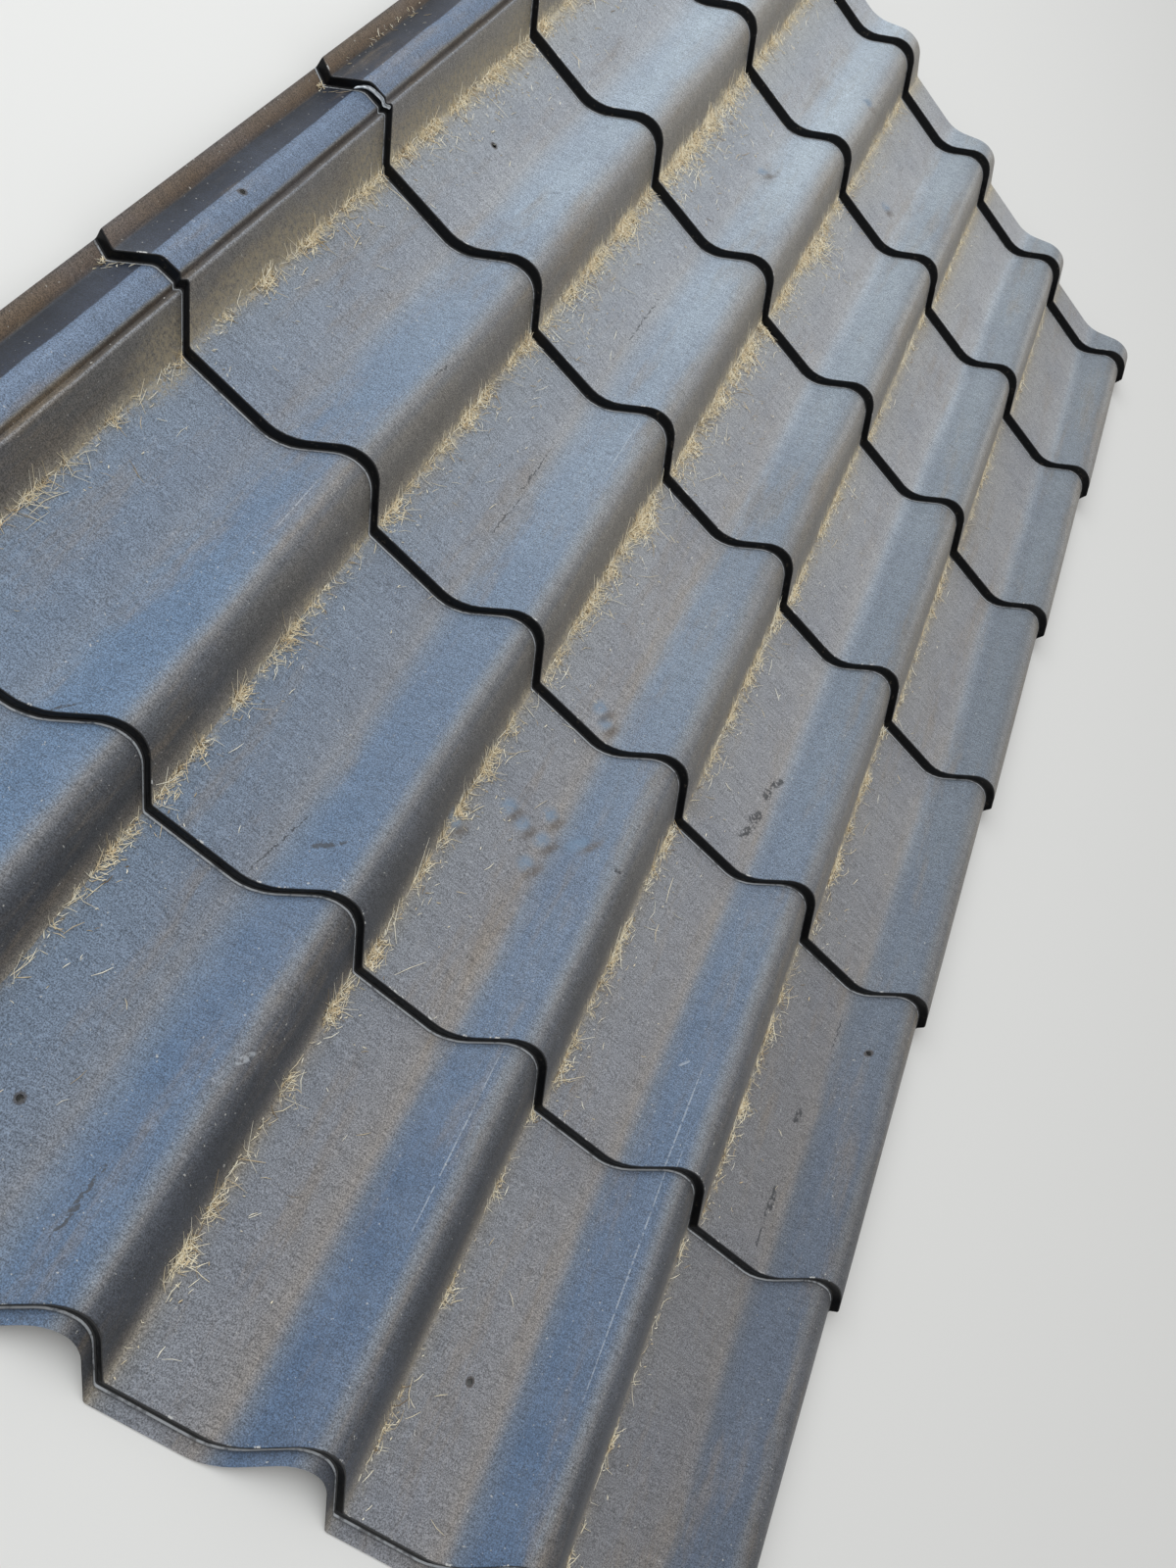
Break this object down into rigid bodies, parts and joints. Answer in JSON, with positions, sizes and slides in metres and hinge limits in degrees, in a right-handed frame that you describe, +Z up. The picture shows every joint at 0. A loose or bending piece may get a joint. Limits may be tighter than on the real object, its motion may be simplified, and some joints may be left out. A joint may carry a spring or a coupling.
{
  "type": "metal roof tile sheet",
  "caption": "Pressed steel roofing sheet with stepped tile-effect waves, bowed step lines, a gutter and turned-up lip along its underlap edge and screw holes.",
  "frame": {"origin": "middle of the sheet's outline, on the floor that it lies on", "axes": "+Y up the slope of the roof along the ribs, from the eaves end to the upper end; +X across the ribs, from the underlap edge to the overlap edge; +Z up, out of the weather side"},
  "size_m": [1.1936, 2.1804, 0.0443],
  "materials": {
    "coated_steel": "matt, fine-grained anthracite coil coating, aged and dusty"
  },
  "bodies": {
    "root": {"tile_sheet": "coated_steel"}
  },
  "joints": []
}
